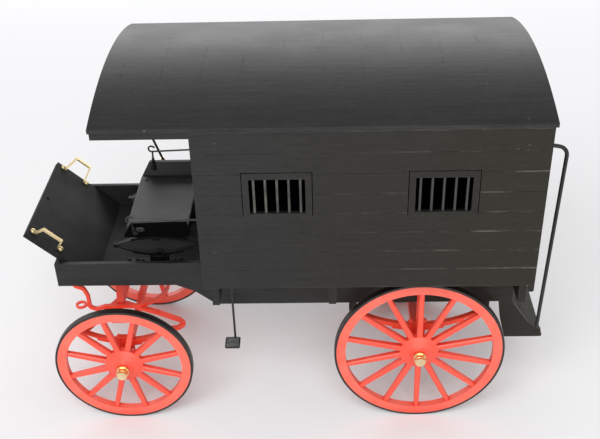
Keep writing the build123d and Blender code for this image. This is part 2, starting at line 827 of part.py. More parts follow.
bed = [block(bed_x0, bed_x1, -bed_half, bed_half, bar_z, side_z)]
for side in (-1, 1):
    y0 = min(side * bed_half, side * (bed_half - bed_pad_w))
    y1 = max(side * bed_half, side * (bed_half - bed_pad_w))
    pad_x = bed_x0 - bed_pad_ahead
    bed.append(block(pad_x, pad_x + bed_pad_l, y0, y1, bar_z, side_z))
    start = Vector(kx - bed_ahead, side * arm_in)
    end = Vector(kx - front_spring_half, side * (shackle_y + arm_bite))
    run = (end - start).normalized()
    n = Vector(-run.Y, run.X) * (arm_w / 2)
    corners = [tuple(start + n)[:2], tuple(start - n)[:2], tuple(end - n)[:2], tuple(end + n)[:2]]
    bed.append(Pos(0, 0, bar_z) * extrude(Polygon(*corners, align=None), amount=bar_h, dir=(0, 0, 1)))
    bed.append(shackle(kx - front_spring_half, side))
bed = fuse(bed)
save("front_platform", bed)

# hounds, from the bed under the bent bar to the rear ends of the springs
hounds = []
for side in (-1, 1):
    points = [(kx + back, side * out, bar_z + bar_h / 2) for back, out in hound_path]
    path = FilletPolyline(*points, radius=hound_bend)
    section = Plane(origin=path @ 0, z_dir=path % 0, x_dir=(0, 0, 1)) * Rectangle(bar_h, hound_w)
    hound = sweep_solid(section, path) + shackle(kx + front_spring_half, side)
    hounds.append(hound - bed)
save("hounds", hounds)

# pole irons: the bent bar lies on the bed and on the hounds
bar_in = iron_r - iron_t / 2
bar_out = iron_r + iron_t / 2
bar_top_z = side_z + iron_t
bend = Cylinder(bar_out, iron_t) - Cylinder(bar_in, iron_t + 1)
bend = bend & block(0, bar_out + 1, -bar_out - 1, bar_out + 1, -iron_t, iron_t)
iron = [Pos(kx, 0, side_z + iron_t / 2) * bend]
for side in (-1, 1):
    y = side * iron_r
    y0 = y - iron_t / 2
    y1 = y + iron_t / 2
    iron.append(block(kx - iron_front, kx, y0, y1, side_z, bar_top_z))
    points = [(kx + back, y, side_z + up) for back, up in goose]
    path = FilletPolyline(*points, radius=goose_bend)
    section = Plane(origin=path @ 0, z_dir=path % 0, x_dir=(0, 1, 0)) * Rectangle(iron_t, iron_t)
    iron.append(sweep_solid(section, path))
    neck = kx + goose[3][0] - iron_t / 2
    eye = Pos(pole_eye_x, y, pole_eye_z) * Cylinder(pole_eye_r, pole_eye_t)
    eye_z0 = pole_eye_z - pole_eye_t / 2
    eye = eye + block(pole_eye_x, neck + iron_t / 2, y0, y1, eye_z0, eye_z0 + pole_eye_t)
    iron.append(eye - Pos(pole_eye_x, y, pole_eye_z) * Cylinder(pole_hole_r, pole_eye_t + 1))
iron = fuse(iron)
save("pole_irons", iron)

# wheels
def eight_sides(width, depth):
    # a rectangle with its corners cut, the section of a shaved spoke
    w = width / 2
    d = depth / 2
    c = spoke_cut
    corners = [(w, d - c), (w - c, d), (c - w, d), (-w, d - c)]
    corners += [(-w, c - d), (c - w, -d), (w - c, -d), (w, c - d)]
    return Polygon(*corners, align=None)


def wheel(radius, count, phase):
    # built about the local Z axis; z = 0 is the outer face of the rim, the nose points to +Z
    rim_out = radius - tyre_t
    rim_in = rim_out - felloe_depth
    rim_pts = [(rim_in, 0), (rim_out, 0), (rim_out, -tread), (rim_in, -tread)]
    rim = revolve(Plane.XZ * Polygon(*rim_pts, align=None), axis=Axis.Z)
    hub_pts = [(0, hub_nose), (hub_nose_r, hub_nose)]
    hub_pts += [(hub_flange_r - inset, height) for inset, height in hub_turning]
    hub_pts += [(hub_inner_r, -hub_neck), (hub_inner_r, -hub_inner), (0, -hub_inner)]
    hub = revolve(Plane.XZ * Polygon(*hub_pts, align=None), axis=Axis.Z)
    pieces = [rim, hub]
    r0 = hub_flange_r - spoke_root_bite
    r1 = rim_in + spoke_tip_bite
    root_at = Plane(origin=(r0, 0, spoke_root_z), x_dir=(0, 1, 0), z_dir=(1, 0, 0))
    tip_at = Plane(origin=(r1, 0, -tread / 2), x_dir=(0, 1, 0), z_dir=(1, 0, 0))
    for k in range(count):
        root = root_at * eight_sides(spoke_root_w, spoke_root_d)
        tip = tip_at * eight_sides(spoke_tip_w, spoke_tip_d)
        spoke = loft([root, tip], ruled=True)
        pieces.append(Rot(0, 0, phase + k * 360.0 / count) * spoke)
    body = fuse(pieces)
    body = body - Cylinder(spindle_r + spindle_play, 4 * hub_inner)
    tyre_pts = [(rim_out, 0), (radius, 0), (radius, -tread), (rim_out, -tread)]
    tyre = revolve(Plane.XZ * Polygon(*tyre_pts, align=None), axis=Axis.Z)
    return body, tyre


def nut():
    z0 = hub_nose + nut_gap
    collar = Pos(0, 0, z0 + nut_collar_t / 2) * Cylinder(nut_collar_r, nut_collar_t)
    z1 = z0 + nut_collar_t
    hexa = Pos(0, 0, z1) * extrude(RegularPolygon(nut_flats / 2, 6, major_radius=False), amount=nut_hex_l)
    z2 = z1 + nut_hex_l
    end = Pos(0, 0, z2 + nut_end_t / 2) * Cylinder(nut_end_r, nut_end_t)
    whole = collar + hexa + end
    return whole - Cylinder(spindle_r, 2 * spindle_out)


rear_wheel, rear_tyre = wheel(rear_r, rear_spokes, 90 + rear_phase)
front_wheels = {
    "left": wheel(front_r, front_spokes, 90 + front_left_phase),
    "right": wheel(front_r, front_spokes, 90 + front_right_phase),
}
cap = nut()


def place(shape, xc, zc, side):
    # side -1 is the left-hand wheel, with its nose towards -Y
    turn = Rot(90, 0, 0) if side < 0 else Rot(-90, 0, 0)
    return Pos(xc, side * half_over_wheels, zc) * turn * shape


for side, tag in ((-1, "left"), (1, "right")):
    save("rear_" + tag + "_wheel", place(rear_wheel, 0, rear_r, side))
    save("rear_" + tag + "_tyre", place(rear_tyre, 0, rear_r, side))
    front_wheel, front_tyre = front_wheels[tag]
    save("front_" + tag + "_wheel", place(front_wheel, kx, front_r, side))
    save("front_" + tag + "_tyre", place(front_tyre, kx, front_r, side))
save("rear_hub_nuts", [place(cap, 0, rear_r, -1), place(cap, 0, rear_r, 1)])
save("front_hub_nuts", [place(cap, kx, front_r, -1), place(cap, kx, front_r, 1)])

# rear door
door = block(body_rear - door_t, body_rear, -door_half, door_half, floor_top + door_play, door_head)
cut_half = door_half + past
for row in range(1, planks):
    z0 = body_bottom + row * plank_h - groove_w / 2
    if z0 < door_head - groove_head:
        door = door - block(body_rear - groove_d, cut_x1, -cut_half, cut_half, z0, z0 + groove_w)
slot_z0 = door_slot_z - door_slot_h / 2
slot_z1 = door_slot_z + door_slot_h / 2
slot_half = door_slot_w / 2
door = door - block(body_rear - past, cut_x1, -slot_half, slot_half, slot_z0, slot_z1)
save("rear_door", door)
door_bars = []
slot_x = body_rear - door_t / 2
for k in range(3):
    y = (k - 1) * bar_pitch
    door_bars.append(bar8((slot_x, y, slot_z0), (slot_x, y, slot_z1), bar_r))
save("door_bars", door_bars)
hinge_x = body_rear + door_hinge_r
hinge_y = door_half + door_hinge_off
strap_x = body_rear + strap_t
straps = []
leaves = []
for z in hinge_z:
    z0 = z - knuckle_h / 2
    z1 = z + knuckle_h / 2
    knuckle = rod((hinge_x, hinge_y, z0), (hinge_x, hinge_y, z1), door_hinge_r)
    strap = block(body_rear, strap_x, hinge_y - strap_l, hinge_y, z - strap_h / 2, z + strap_h / 2)
    straps.append(fuse([strap, knuckle]))
    leaf_z0 = z - leaf_h / 2
    leaf = [block(body_rear, strap_x, door_half + leaf_in, door_half + leaf_out, leaf_z0, leaf_z0 + leaf_h)]
    for end in (-1, 1):
        z_in = z + end * (knuckle_h / 2 + leaf_gap)
        z_out = z + end * leaf_h / 2
        z0 = min(z_in, z_out)
        z1 = max(z_in, z_out)
        leaf.append(block(body_rear, strap_x, hinge_y, door_half + leaf_in + leaf_gap, z0, z1))
        leaf.append(rod((hinge_x, hinge_y, z0), (hinge_x, hinge_y, z1), door_hinge_r))
    leaves.append(fuse(leaf))
save("door_straps", straps)
save("hinge_leaves", leaves)
latch_at = latch_y - door_half
plate_w = latch_plate_w / 2
plate_h = latch_plate_h / 2
knob_x = body_rear + latch_reach
plate_x = body_rear + latch_plate_t
pull = block(body_rear, plate_x, latch_at - plate_w, latch_at + plate_w, latch_z - plate_h, latch_z + plate_h)
knob_in = knob_x - latch_knob_t
pull = pull + rod((body_rear, latch_at, latch_z), (knob_in, latch_at, latch_z), latch_stem_r)
pull = pull + rod((knob_in, latch_at, latch_z), (knob_x, latch_at, latch_z), latch_knob_r)
save("door_latch", pull)
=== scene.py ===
import json
import math

import bmesh
import bpy
from mathutils import Matrix, Vector


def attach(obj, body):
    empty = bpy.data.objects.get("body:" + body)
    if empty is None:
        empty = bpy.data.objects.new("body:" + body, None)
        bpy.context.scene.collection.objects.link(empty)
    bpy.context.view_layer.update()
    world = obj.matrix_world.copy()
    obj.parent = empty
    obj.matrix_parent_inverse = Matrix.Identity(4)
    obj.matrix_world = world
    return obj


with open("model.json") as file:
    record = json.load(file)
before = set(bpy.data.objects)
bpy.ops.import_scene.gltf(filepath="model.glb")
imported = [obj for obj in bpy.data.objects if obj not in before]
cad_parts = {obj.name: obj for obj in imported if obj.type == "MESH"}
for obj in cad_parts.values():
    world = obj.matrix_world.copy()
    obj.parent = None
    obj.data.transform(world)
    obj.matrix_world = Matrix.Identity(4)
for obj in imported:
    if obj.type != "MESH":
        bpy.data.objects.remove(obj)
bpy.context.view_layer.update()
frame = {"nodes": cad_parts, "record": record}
NODES = frame["nodes"]

# colours, linear; black paint on the wood first
BLACK = (0.0042, 0.0042, 0.0045, 1.0)
BLACK_LIGHT = (0.0105, 0.0104, 0.0106, 1.0)
# black paint turned browner, as warm light towards the rear end shows it: painted light
BLACK_IN_WARM_LIGHT = (0.0098, 0.0088, 0.0068, 1.0)
ROOF = (0.0050, 0.0052, 0.0058, 1.0)
ROOF_LIGHT = (0.0125, 0.013, 0.0142, 1.0)
# painted highlight on the tops of the seat's panels
PANEL_TOP_HIGHLIGHT = (0.03, 0.03, 0.03, 1.0)
# near black: painted shade for the cabin's inside, the roof's underside, faces that look down, and
# shaded iron
SHADE_BLACK = (0.0012, 0.0012, 0.0014, 1.0)
SEAM = (0.021, 0.021, 0.0205, 1.0)
SCUFF = (0.16, 0.15, 0.13, 1.0)
# the tint of the wood's sheen: plain, and a browner painted reflection of the warm light towards
# the rear end
WHITE = (1.0, 1.0, 1.0, 1.0)
WARM_SHEEN = (0.88, 0.82, 0.66, 1.0)
# iron, and the bars of the windows
IRON = (0.0045, 0.0045, 0.0048, 1.0)
IRON_LIGHT = (0.012, 0.012, 0.0125, 1.0)
IRON_WORN = (0.24, 0.235, 0.225, 1.0)
BAR_DARK = (0.030, 0.028, 0.024, 1.0)
BAR_LIGHT = (0.105, 0.098, 0.082, 1.0)
# the bars darker towards the rear end: painted shade
BAR_REAR_SHADE = (0.028, 0.028, 0.028, 1.0)
# wheels and gear
RED = (0.85, 0.142, 0.096, 1.0)
RED_DEEP = (0.79, 0.100, 0.060, 1.0)
RED_INNER = (0.83, 0.086, 0.048, 1.0)
RED_INNER_DEEP = (0.77, 0.066, 0.034, 1.0)
RED_WORN = (0.95, 0.30, 0.24, 1.0)
# painted shade in the corners of the red parts
RED_CORNER_SHADE = (0.72, 0.030, 0.012, 1.0)
# the gear's red: a deeper, more saturated copy of the wheels' red, as painted shade under the wagon
GEAR_RED = (0.90, 0.095, 0.050, 1.0)
GEAR_DEEP = (0.82, 0.060, 0.028, 1.0)
TYRE = (0.0085, 0.0058, 0.0052, 1.0)
TYRE_LIGHT = (0.021, 0.0130, 0.0105, 1.0)
# turned brass, and the duller cast brass of the dash handles
BRASS_DEEP = (0.80, 0.60, 0.30, 1.0)
BRASS = (0.93, 0.80, 0.52, 1.0)
CAST_DEEP = (0.58, 0.44, 0.23, 1.0)
CAST = (0.76, 0.63, 0.39, 1.0)
# the set
FLOOR = (0.78, 0.78, 0.79, 1.0)
SKY = (0.985, 0.99, 1.0, 1.0)

# places in millimetres are measured from the rear axle, as on the part's drawing
MM = 0.001
SHIFT = 80.370461
BODY_FRONT = -129.1
BODY_REAR = 62.8
BODY_BOTTOM = 113.7
BODY_HALF = 72.0
PLANK = 12.8
ROOF_BOARD = 9.2
ROOF_BOW = 22.5
FRONT_AXLE = -186.4
REAR_RADIUS = 53.0
FRONT_RADIUS = 43.6
RIM_DEPTH = 7.0

# how far inside the outer faces of the walls the cabin's painted shade begins, in millimetres
SIDE_MARGIN = 2.3
FRONT_MARGIN = 0.4
REAR_MARGIN = 0.7

# where the light's change along the wagon starts and ends: X in the row frame, in metres
WARM_SHEEN_FADE = (-0.05, 0.10)
WARM_FADE = (0.02, 0.14)
BAR_FADE = (0.0, 0.08)

# the front wheels lie ahead of this X, and the inner colour of each wheel fades in
# over this depth inside its rim, in metres
WHEEL_SPLIT = -0.02
RIM_FADE = (-0.0002, 0.0008)
# the width of rubbed edges, and how far the painted shade reaches out of corners, in metres
WOOD_EDGE = 0.0005
METAL_EDGE = 0.0004
CORNER_SHADE_REACH = 0.010
# the noise at which chips along an edge start, and at which they are full
WOOD_CHIPS = (0.46, 0.72)
METAL_CHIPS = (0.40, 0.66)
# half widths of the walls' seams and of the light lines on the lips beside them, and where the
# lips lie, as shares of a plank; the same of the roof's seams and bow marks
SEAM_HALF = 0.024
LIP_HALF = 0.016
LIP_AT = 0.020
ROOF_SEAM_HALF = 0.03
BOW_HALF = 0.035
# bow marks fade in towards the crown: distance from the middle, in metres
CROWN_FADE = (0.045, 0.015)

# planed grain: its waves per metre along X, Y and Z, and its depth in metres
GRAIN = (42, 900, 900)
GRAIN_DEPTH = 0.00012
ROOF_GRAIN = (22, 620, 620)
ROOF_GRAIN_DEPTH = 0.00010


def material(name):
    """A new node material, its shader, a helper that adds a node and one that links two sockets."""
    mat = bpy.data.materials.new(name)
    mat.use_nodes = True
    tree = mat.node_tree
    shader = tree.nodes["Principled BSDF"]

    def add(kind, inputs=None, **settings):
        node = tree.nodes.new("ShaderNode" + kind)
        for key, value in settings.items():
            setattr(node, key, value)
        for key, value in (inputs or {}).items():
            if isinstance(value, bpy.types.NodeSocket):
                tree.links.new(value, node.inputs[key])
            else:
                node.inputs[key].default_value = value
        return node

    def link(source, target):
        tree.links.new(source, target)

    return mat, shader, add, link


def grey(value):
    return (value, value, value, 1.0)


def maths(add, operation, a, b=0.0, c=0.0):
    return add("Math", {0: a, 1: b, 2: c}, operation=operation).outputs[0]


def between(add, share, low, high):
    """From low where share is nothing to high where it is one."""
    return maths(add, "MULTIPLY_ADD", share, high - low, low)


def ramp_value(add, factor, start, end):
    """From nothing at start to one at end."""
    return add("MapRange", {"Value": factor, "From Min": start, "From Max": end}).outputs["Result"]


def ramp(add, factor, low, high, start, end):
    """From one colour at start to the other at end."""
    node = add("ValToRGB", {"Fac": factor})
    for element, place, colour in zip(node.color_ramp.elements, (start, end), (low, high)):
        element.position = place
        element.color = colour
    return node.outputs["Color"]


def blend(add, factor, first, second):
    return add("Mix", {0: factor, 6: first, 7: second}, data_type="RGBA").outputs[2]


def place_xyz(add):
    """X, Y and Z in the row frame, in metres."""
    place = add("SeparateXYZ", {"Vector": add("TexCoord").outputs["Object"]})
    return place.outputs[0], place.outputs[1], place.outputs[2]


def facing_up(add):
    """One on a face that looks up, minus one on a face that looks down."""
    return add("SeparateXYZ", {"Vector": add("NewGeometry").outputs["Normal"]}).outputs[2]


def place_coords(add, scale):
    """Row coordinates in metres, stretched by scale."""
    coords = add("TexCoord")
    return add("Mapping", {"Vector": coords.outputs["Object"], "Scale": scale}).outputs["Vector"]


def noise(add, scale, detail, roughness=0.5):
    """Noise with scale waves per metre along X, Y and Z."""
    return add("TexNoise", {"Vector": place_coords(add, scale), "Scale": 1.0,
                            "Detail": detail, "Roughness": roughness})


def edges(add, radius):
    """White along the edges, black on the flats."""
    soft = add("Bevel", {"Radius": radius}, samples=6)
    plain = add("NewGeometry")
    both = add("VectorMath", {0: soft.outputs["Normal"], 1: plain.outputs["Normal"]},
               operation="DOT_PRODUCT")
    return ramp_value(add, both.outputs["Value"], 0.995, 0.90)


def rub(add, paint, chips, edge, limits, amount, colour):
    """Paint rubbed through to colour by amount, in chips along its edges."""
    chipped = ramp_value(add, chips.outputs["Fac"], *limits)
    worn = maths(add, "MULTIPLY", edges(add, edge), chipped)
    return blend(add, maths(add, "MULTIPLY", worn, amount), paint, colour)


def band(add, value, centre, half):
    """One inside centre plus or minus half, fading to nothing at its ends."""
    off = maths(add, "ABSOLUTE", maths(add, "SUBTRACT", value, centre))
    return ramp_value(add, off, half, half * 0.5)


def off_seam(add, value, pitch):
    """How far value lies from the nearest of the seams at each pitch, as a share of the pitch."""
    rows = maths(add, "DIVIDE", value, pitch)
    return maths(add, "SUBTRACT", rows, maths(add, "ROUND", rows))


def dust(add, paint, scale):
    """Small light specks, some on each board."""
    dots = add("TexVoronoi", {"Vector": place_coords(add, (scale,) * 3),
                              "Scale": 1.0, "Randomness": 1.0})
    specks = ramp_value(add, dots.outputs["Distance"], 0.055, 0.03)
    return blend(add, maths(add, "MULTIPLY", specks, 0.35), paint, SCUFF)


def painted_wood(name, dark, light, rough, grain=GRAIN, depth=GRAIN_DEPTH,
                 spread=0.07, shine=0.42, streak=0.38, warm_sheen=True):
    """Satin paint over planed boards, with the grain along X as fine ridges and dull streaks.

    Its roughness is rough, give or take spread, and its sheen is shine, give or take half of
    streak as a share of it. With warm_sheen, the sheen takes a painted warm tint towards the body's
    rear end.
    """
    mat, shader, add, link = material(name)
    streaks = noise(add, grain, 6.0, 0.62)
    clouds = noise(add, (34, 34, 34), 3.0)
    specks = noise(add, (1500, 1500, 1500), 2.0)
    tone = blend(add, 0.45, streaks.outputs["Color"], clouds.outputs["Color"])
    paint = ramp(add, tone, dark, light, 0.36, 0.72)
    chips = noise(add, (260, 420, 420), 5.0, 0.7)
    paint = rub(add, paint, chips, WOOD_EDGE, WOOD_CHIPS, 0.30, SCUFF)
    dull = ramp(add, clouds.outputs["Fac"], grey(rough - spread), grey(rough + spread), 0.3, 0.7)
    link(dull, shader.inputs["Roughness"])
    ridges = add("Bump", {"Height": streaks.outputs["Fac"], "Strength": 0.35, "Distance": depth})
    fine = add("Bump", {"Height": specks.outputs["Fac"], "Strength": 0.12, "Distance": 0.00004,
                        "Normal": ridges.outputs["Normal"]})
    link(fine.outputs["Normal"], shader.inputs["Normal"])
    # painted reflection: the sheen turns browner towards the rear end, standing in for warm light
    # there
    if warm_sheen:
        x, _, _ = place_xyz(add)
        tint = blend(add, ramp_value(add, x, *WARM_SHEEN_FADE), WHITE, WARM_SHEEN)
        link(tint, shader.inputs["Specular Tint"])
    brushed = ramp_value(add, streaks.outputs["Fac"], 0.34, 0.66)
    mottled = ramp_value(add, chips.outputs["Fac"], 0.3, 0.7)
    least = shine * (1.0 - streak * 0.5)
    sheen = maths(add, "MULTIPLY_ADD", maths(add, "ADD", brushed, mottled),
                  shine * streak * 0.5, least)
    link(sheen, shader.inputs["Specular IOR Level"])
    return mat, shader, add, link, paint


def plain_wood(name, dark, light, rough, shine=0.42):
    """Painted wood with nothing more on it."""
    mat, shader, _, link, paint = painted_wood(name, dark, light, rough, shine=shine)
    link(paint, shader.inputs["Base Color"])
    return mat


def wall_wood():
    """The planked walls: dust and painted light in the seams, light lines beside them, painted warm
    light to the rear, painted shade inside.
    """
    mat, shader, add, link, paint = painted_wood("wall_wood", BLACK, BLACK_LIGHT, rough=0.5)
    x, y, z = place_xyz(add)
    # painted warm light: the paint turns browner towards the rear end
    rear = ramp_value(add, x, *WARM_FADE)
    paint = blend(add, maths(add, "MULTIPLY", rear, 0.75), paint, BLACK_IN_WARM_LIGHT)
    # the seams lightened: dust in them, and painted light against the shade in the grooves
    near = off_seam(add, maths(add, "SUBTRACT", z, BODY_BOTTOM * MM), PLANK * MM)
    seam = band(add, near, 0.0, SEAM_HALF)
    paint = blend(add, maths(add, "MULTIPLY", seam, 0.85), paint, SEAM)
    lips = band(add, maths(add, "ABSOLUTE", near), LIP_AT, LIP_HALF)
    dashes = noise(add, (40, 40, 170), 6.0, 0.7)
    broken = ramp_value(add, dashes.outputs["Fac"], 0.46, 0.62)
    light_lines = maths(add, "MULTIPLY", lips, broken)
    # few of these light lines in front, and many to the rear
    light_lines = maths(add, "MULTIPLY", light_lines, maths(add, "MULTIPLY_ADD", rear, 0.80, 0.06))
    paint = dust(add, blend(add, light_lines, paint, SCUFF), 95)
    # painted shade: the faces inside the cabin turn near black
    half = (BODY_HALF - SIDE_MARGIN) * MM
    across = maths(add, "LESS_THAN", maths(add, "ABSOLUTE", y), half)
    ahead = maths(add, "GREATER_THAN", x, (BODY_FRONT + SHIFT + FRONT_MARGIN) * MM)
    behind = maths(add, "LESS_THAN", x, (BODY_REAR + SHIFT - REAR_MARGIN) * MM)
    inner = maths(add, "MULTIPLY", across, maths(add, "MULTIPLY", ahead, behind))
    link(blend(add, inner, paint, SHADE_BLACK), shader.inputs["Base Color"])
    return mat


def roof_wood():
    """The roof: close lengthwise boards under many coats, with painted shade underneath where the
    cabin is.
    """
    mat, shader, add, link, paint = painted_wood(
        "roof_black", ROOF, ROOF_LIGHT, rough=0.5, grain=ROOF_GRAIN, depth=ROOF_GRAIN_DEPTH,
        spread=0.03, streak=0.55, warm_sheen=False)
    x, y, _ = place_xyz(add)
    seam = band(add, off_seam(add, y, ROOF_BOARD * MM), 0.0, ROOF_SEAM_HALF)
    waver = noise(add, (38, 300, 38), 4.0)
    faint = maths(add, "MULTIPLY", seam, ramp_value(add, waver.outputs["Fac"], 0.42, 0.68))
    paint = dust(add, blend(add, maths(add, "MULTIPLY", faint, 0.5), paint, SEAM), 70)
    # boards bent over the bows: faint dark marks across, near the crown only
    bows = band(add, off_seam(add, x, ROOF_BOW * MM), 0.0, BOW_HALF)
    torn = noise(add, (40, 120, 40), 3.0)
    marks = maths(add, "MULTIPLY", bows, ramp_value(add, torn.outputs["Fac"], 0.45, 0.6))
    crown = ramp_value(add, maths(add, "ABSOLUTE", y), *CROWN_FADE)
    marks = maths(add, "MULTIPLY", maths(add, "MULTIPLY", marks, crown), 0.12)
    sheen = shader.inputs["Specular IOR Level"]
    link(maths(add, "SUBTRACT", sheen.links[0].from_socket, marks), sheen)
    # painted shade on the underside over the cabin
    under = maths(add, "LESS_THAN", facing_up(add), -0.5)
    closed = maths(add, "GREATER_THAN", x, (BODY_FRONT + SHIFT) * MM)
    dark = maths(add, "MULTIPLY", under, closed)
    link(blend(add, dark, paint, SHADE_BLACK), shader.inputs["Base Color"])
    return mat


def panel_wood():
    """The seat's leaning panels: a painted highlight on top, and painted shade with little sheen
    where they face down.
    """
    mat, shader, add, link, paint = painted_wood("panel_wood", BLACK, BLACK_LIGHT, rough=0.55)
    up = facing_up(add)
    # painted highlight on the faces that look up
    paint = blend(add, maths(add, "GREATER_THAN", up, 0.8), paint, PANEL_TOP_HIGHLIGHT)
    # painted shade, dull and near black, on the faces that look down
    hidden = maths(add, "LESS_THAN", up, -0.1)
    link(blend(add, hidden, paint, SHADE_BLACK), shader.inputs["Base Color"])
    link(between(add, hidden, 0.55, 0.90), shader.inputs["Roughness"])
    link(between(add, hidden, 0.42, 0.06), shader.inputs["Specular IOR Level"])
    return mat


def inside_rim(add):
    """One on hubs and spokes, nothing on the rims, for the front and the rear wheels alike."""
    x, _, z = place_xyz(add)
    front = maths(add, "LESS_THAN", x, WHEEL_SPLIT)
    centre_x = between(add, front, SHIFT * MM, (SHIFT + FRONT_AXLE) * MM)
    centre_z = between(add, front, REAR_RADIUS * MM, FRONT_RADIUS * MM)
    dx = maths(add, "SUBTRACT", x, centre_x)
    dz = maths(add, "SUBTRACT", z, centre_z)
    square = maths(add, "MULTIPLY_ADD", dx, dx, maths(add, "MULTIPLY", dz, dz))
    rim = between(add, front, (REAR_RADIUS - RIM_DEPTH) * MM, (FRONT_RADIUS - RIM_DEPTH) * MM)
    inward = maths(add, "SUBTRACT", rim, maths(add, "SQRT", square))
    return ramp_value(add, inward, *RIM_FADE)


def painted_metal(name, dark, light, rough, amount, worn=IRON_WORN, coat=0.0,
                  rear=None, inner=None, corner_shade=None, shine=0.5):
    """Brushed-on enamel over turned and cut metal; its edges are rubbed to worn by amount.

    rear is its colour at the body's rear end, painted shade there; inner a pair of colours for a
    wheel inside its rim; and corner_shade the colour of the painted shade in its corners.
    """
    mat, shader, add, link = material(name)
    clouds = noise(add, (90, 90, 90), 4.0, 0.55)
    specks = noise(add, (900, 900, 900), 3.0)
    paint = ramp(add, clouds.outputs["Fac"], dark, light, 0.3, 0.7)
    # painted shade towards the rear end
    if rear:
        x, _, _ = place_xyz(add)
        paint = blend(add, ramp_value(add, x, *BAR_FADE), paint, rear)
    if inner:
        deeper = ramp(add, clouds.outputs["Fac"], inner[0], inner[1], 0.3, 0.7)
        paint = blend(add, inside_rim(add), paint, deeper)
    # painted shade in corners, darker where less light reaches
    if corner_shade:
        open_share = add("AmbientOcclusion", {"Distance": CORNER_SHADE_REACH}, samples=4).outputs["AO"]
        paint = blend(add, ramp_value(add, open_share, 0.92, 0.42), paint, corner_shade)
    chips = noise(add, (300, 300, 300), 5.0, 0.7)
    paint = rub(add, paint, chips, METAL_EDGE, METAL_CHIPS, amount, worn)
    link(paint, shader.inputs["Base Color"])
    dull = ramp(add, clouds.outputs["Fac"], grey(rough - 0.05), grey(rough + 0.07), 0.35, 0.65)
    link(dull, shader.inputs["Roughness"])
    bump = add("Bump", {"Height": specks.outputs["Fac"], "Strength": 0.18, "Distance": 0.00005})
    link(bump.outputs["Normal"], shader.inputs["Normal"])
    shader.inputs["Specular IOR Level"].default_value = shine
    shader.inputs["Coat Weight"].default_value = coat
    shader.inputs["Coat Roughness"].default_value = 0.25
    return mat


def brass(name, deep, light, smooth, rough):
    """Brass from deep to light; smooth and rough are the ends of its roughness."""
    mat, shader, add, link = material(name)
    clouds = noise(add, (160, 160, 160), 4.0)
    turned = noise(add, (400, 3200, 400), 2.0)
    link(ramp(add, clouds.outputs["Fac"], deep, light, 0.3, 0.7), shader.inputs["Base Color"])
    cloudy = ramp_value(add, clouds.outputs["Fac"], 0.3, 0.7)
    link(between(add, cloudy, smooth, rough), shader.inputs["Roughness"])
    bump = add("Bump", {"Height": turned.outputs["Fac"], "Strength": 0.1, "Distance": 0.00004})
    link(bump.outputs["Normal"], shader.inputs["Normal"])
    shader.inputs["Metallic"].default_value = 1.0
    return mat


# one look for each slot of the record, and some pieces' own looks
MATERIALS = {
    "black_wood": plain_wood("black_wood", BLACK, BLACK_LIGHT, rough=0.5),
    "roof_black": roof_wood(),
    "black_iron": painted_metal("black_iron", IRON, IRON_LIGHT, rough=0.42, amount=0.35),
    "red_gear": painted_metal("red_gear", GEAR_DEEP, GEAR_RED, rough=0.42, amount=0.5,
                              worn=RED_WORN, coat=0.10, corner_shade=RED_CORNER_SHADE, shine=0.3),
    "red_wheel": painted_metal("red_wheel", RED_DEEP, RED, rough=0.42, amount=0.6,
                               worn=RED_WORN, coat=0.15, corner_shade=RED_CORNER_SHADE,
                               inner=(RED_INNER_DEEP, RED_INNER)),
    "black_tyre": painted_metal("black_tyre", TYRE, TYRE_LIGHT, rough=0.46, amount=0.25),
    "brass": brass("brass", BRASS_DEEP, BRASS, smooth=0.2, rough=0.34),
}
WALLS = wall_wood()
# the dash and the driver's well, rubbed dull
DULL = plain_wood("dull_wood", IRON, BLACK_LIGHT, rough=0.66, shine=0.24)
# window bars that darken towards the rear end: painted shade
BARS = painted_metal("bars_shaded_rearwards", BAR_DARK, BAR_LIGHT, rough=0.5, amount=0.3, rear=BAR_REAR_SHADE)
CAST_BRASS = brass("cast_brass", CAST_DEEP, CAST, smooth=0.42, rough=0.58)
# small fittings with edges rubbed nearly to light grey: painted highlights
FITTINGS_HIGHLIT = painted_metal("fittings_painted_highlight", IRON, IRON_LIGHT, rough=0.34, amount=0.9)
# near black iron: painted shade for the seat's springs, plates and turnings and the dash screw
SHADED_IRON = painted_metal("iron_painted_shade", SHADE_BLACK, IRON, rough=0.5, amount=0.3, shine=0.22)
OWN = {
    "side_wall_left": WALLS,
    "side_wall_right": WALLS,
    "rear_wall": WALLS,
    "rear_door": WALLS,
    "front_wall": WALLS,
    "window_bars": BARS,
    "door_bars": BARS,
    # the cabin's floor, seen only through the bars and from below, near black as painted shade
    "body_floor": plain_wood("inside_wood", SHADE_BLACK, IRON, rough=0.7, shine=0.15),
    "dash_board": DULL,
    "footwell_floor": DULL,
    "footwell_riser": DULL,
    "seat_sides": panel_wood(),
    "seat_springs": SHADED_IRON,
    "spring_blocks": SHADED_IRON,
    "axle_stays": MATERIALS["red_gear"],
    "dash_handles": CAST_BRASS,
}

for part in frame["record"]["subparts"]:
    mesh = NODES[part["node"]].data
    mesh.materials.clear()
    mesh.materials.append(OWN.get(part["node"]) or MATERIALS[part["material_slot"]])

# small pieces in mesh code; their sizes are in millimetres
X, Y, Z = (1, 0, 0), (0, 1, 0), (0, 0, 1)
SIDES = (-1, 1)
SHARP_ANGLE = 0.6


def spot(x, y, z):
    """A place in millimetres from the rear axle, in the row frame in metres."""
    return Vector(((x + SHIFT) * MM, y * MM, z * MM))


